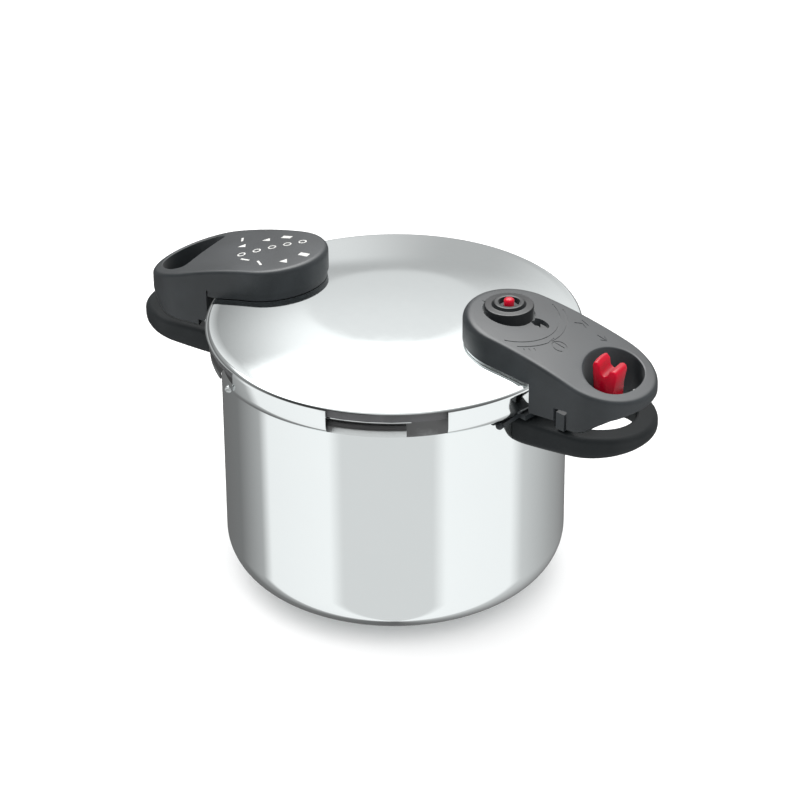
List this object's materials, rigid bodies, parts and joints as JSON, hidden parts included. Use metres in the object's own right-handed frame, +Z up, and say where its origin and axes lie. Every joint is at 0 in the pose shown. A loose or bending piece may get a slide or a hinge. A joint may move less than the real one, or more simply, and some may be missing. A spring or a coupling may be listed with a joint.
{
  "type": "pressure cooker",
  "caption": "Stainless steel pressure cooker with a bayonet lid, two pairs of black side handles, a rotary steam selector, a pressure indicator and a sliding lid lock.",
  "frame": {"origin": "centre of the base on the surface it stands on", "axes": "+Z up along the pot's axis; +X along the handles, towards the handle with the valves"},
  "size_m": [0.372, 0.243, 0.2176],
  "materials": {
    "polished_steel": "mirror polished stainless steel",
    "satin_steel": "satin stainless steel",
    "aluminium": "plain aluminium",
    "black_plastic": "satin black phenolic",
    "red_plastic": "glossy red plastic",
    "silicone": "dark grey silicone"
  },
  "bodies": {
    "pot": {"pot_body": "polished_steel", "base_core": "aluminium", "base_cap": "polished_steel", "pot_handle_right": "black_plastic", "pot_handle_left": "black_plastic", "pot_bracket_right": "satin_steel", "pot_bracket_left": "satin_steel", "pot_handle_screw_right_1": "satin_steel", "pot_handle_screw_right_2": "satin_steel", "pot_handle_screw_left_1": "satin_steel", "pot_handle_screw_left_2": "satin_steel", "lid_guide_hook": "black_plastic", "closing_stop": "black_plastic", "lock_keeper": "satin_steel"},
    "seal": {"gasket": "silicone"},
    "lid": {"lid_shell": "polished_steel", "lid_stop_stud": "satin_steel", "lid_handle_right": "black_plastic", "lid_handle_left": "black_plastic", "handle_base_right": "satin_steel", "handle_base_left": "black_plastic", "lid_handle_screw_1": "satin_steel", "lid_handle_screw_2": "satin_steel", "lid_handle_screw_3": "satin_steel", "valve_body": "satin_steel", "valve_washer": "silicone", "valve_nut": "satin_steel", "safety_valve_body": "satin_steel", "safety_valve_nut": "satin_steel", "lock_detent_spring": "satin_steel"},
    "selector": {"selector_knob": "black_plastic"},
    "indicator": {"pressure_indicator": "red_plastic", "indicator_spring": "satin_steel"},
    "safety": {"safety_plunger": "satin_steel", "safety_spring": "satin_steel"},
    "lock": {"lock_button": "red_plastic", "lock_bolt": "satin_steel"}
  },
  "joints": [
    {"name": "lid_lift", "type": "slide", "parent": "pot", "child": "seal", "axis": [0, 0, 1], "range_m": [0, 0.09]},
    {"name": "lid_turn", "type": "hinge", "parent": "seal", "child": "lid", "pos_m": [0, 0, 0.17], "axis": [0, 0, 1], "range_deg": [0, 36]},
    {"name": "selector_turn", "type": "hinge", "parent": "lid", "child": "selector", "pos_m": [0.084, 0, 0.21], "axis": [0, 0, 1], "range_deg": [0, 90]},
    {"name": "indicator_rise", "type": "slide", "parent": "lid", "child": "indicator", "axis": [0, 0, 1], "range_m": [0, 0.005], "stiffness_N_per_m": 60, "deforming": ["indicator_spring"]},
    {"name": "safety_lift", "type": "slide", "parent": "lid", "child": "safety", "axis": [0, 0, 1], "range_m": [0, 0.0025], "stiffness_N_per_m": 3000, "deforming": ["safety_spring"]},
    {"name": "lock_slide", "type": "slide", "parent": "lid", "child": "lock", "axis": [1, 0, 0], "range_m": [0, 0.007]}
  ]
}
